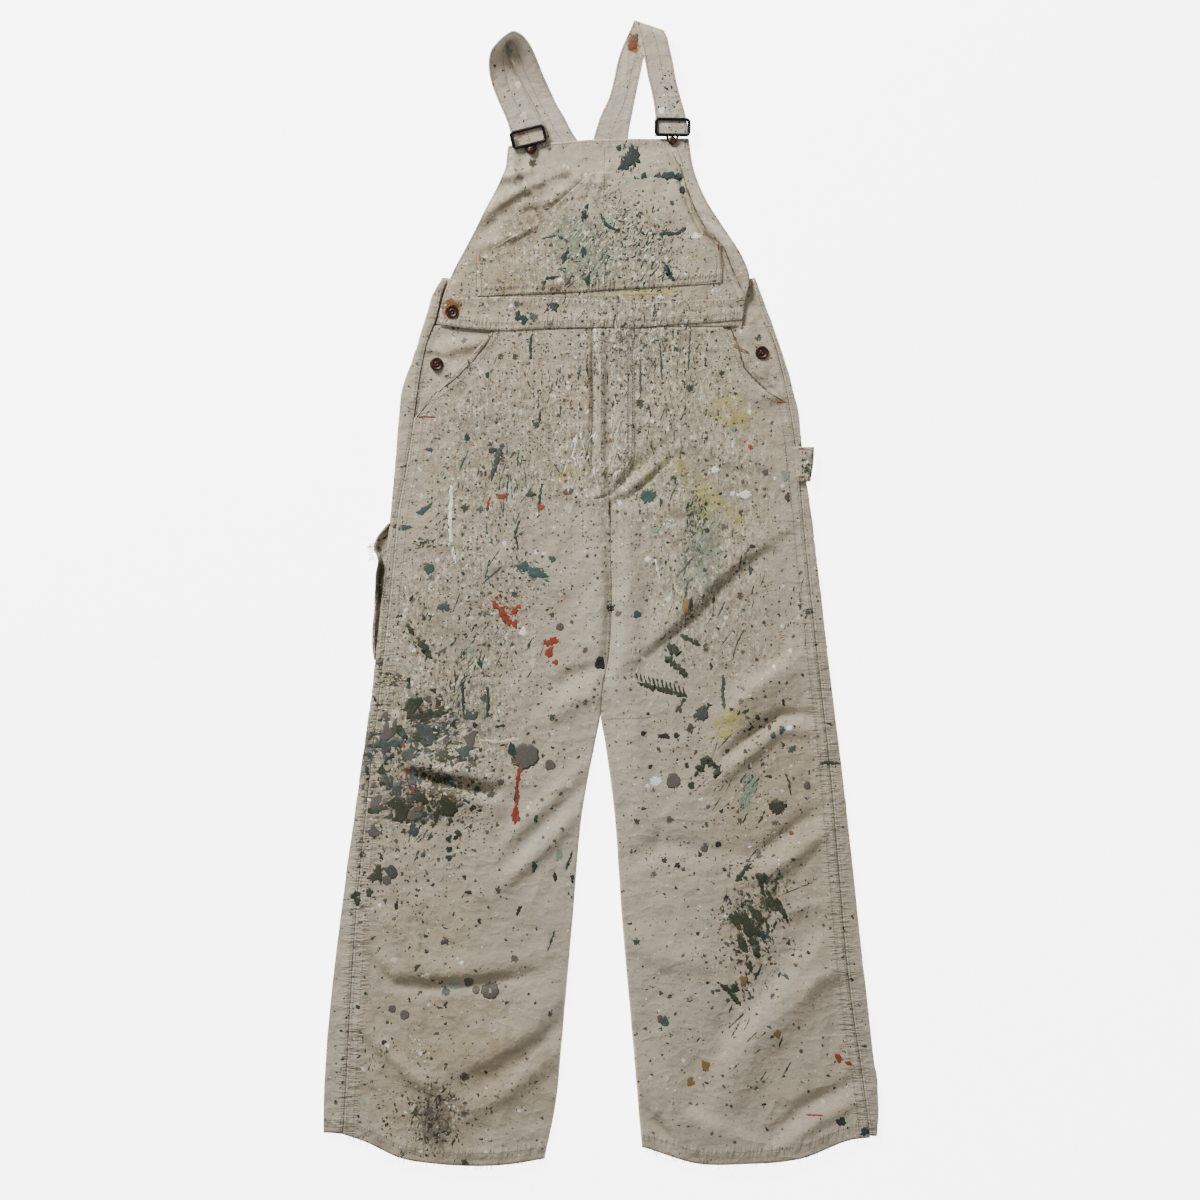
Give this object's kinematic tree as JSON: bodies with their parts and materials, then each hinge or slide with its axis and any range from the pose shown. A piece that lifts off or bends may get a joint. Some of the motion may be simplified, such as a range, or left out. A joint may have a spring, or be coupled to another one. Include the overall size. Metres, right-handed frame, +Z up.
{
  "type": "bib overalls",
  "caption": "Worn canvas painter's bib overalls laid flat, with buckled shoulder straps, a bib pocket, a side tool pocket and a hammer loop, covered in dried paint.",
  "frame": {"origin": "centre of the footprint, on the surface the garment lies on", "axes": "+Y towards the shoulder straps, +Z up from the surface through the front of the garment, +X towards the wearer's left leg"},
  "size_m": [0.6813, 1.3923, 0.0333],
  "materials": {
    "canvas_back_right": "worn undyed cotton canvas with dried paint drops and dirt",
    "canvas_back_left": "worn undyed cotton canvas with dried paint drops and dirt",
    "canvas_yoke": "worn undyed cotton canvas with dried paint drops and dirt",
    "canvas_front_right": "worn undyed cotton canvas with dried paint drops and dirt",
    "canvas_front_left": "worn undyed cotton canvas with dried paint drops and dirt",
    "canvas_facing": "worn undyed cotton canvas with dried paint drops and dirt",
    "canvas_fly": "worn undyed cotton canvas with dried paint drops and dirt",
    "canvas_bib": "worn undyed cotton canvas with dried paint drops and dirt",
    "canvas_bib_pocket": "worn undyed cotton canvas with dried paint drops and dirt",
    "canvas_waistband": "worn undyed cotton canvas with dried paint drops and dirt",
    "canvas_tool_pocket": "worn undyed cotton canvas with dried paint drops and dirt",
    "canvas_loop": "worn undyed cotton canvas with dried paint drops and dirt",
    "canvas_strap": "worn undyed cotton canvas with dried paint drops and dirt",
    "buckle_wire": "black japanned steel, worn, with rust",
    "button_metal": "tarnished dark bronze"
  },
  "bodies": {
    "root": {"back_leg_right": "canvas_back_right", "back_leg_left": "canvas_back_left", "back_yoke": "canvas_yoke", "front_leg_right": "canvas_front_right", "front_leg_left": "canvas_front_left", "pocket_facing_right": "canvas_facing", "pocket_facing_left": "canvas_facing", "fly_flap": "canvas_fly", "bib": "canvas_bib", "bib_pocket": "canvas_bib_pocket", "waistband": "canvas_waistband", "tool_pocket": "canvas_tool_pocket", "hammer_loop": "canvas_loop", "strap_right": "canvas_strap", "strap_left": "canvas_strap", "buckle_right": "buckle_wire", "buckle_left": "buckle_wire", "bib_button_right": "button_metal", "bib_button_left": "button_metal", "waist_button": "button_metal", "side_button_right": "button_metal", "side_button_left": "button_metal"}
  },
  "joints": []
}
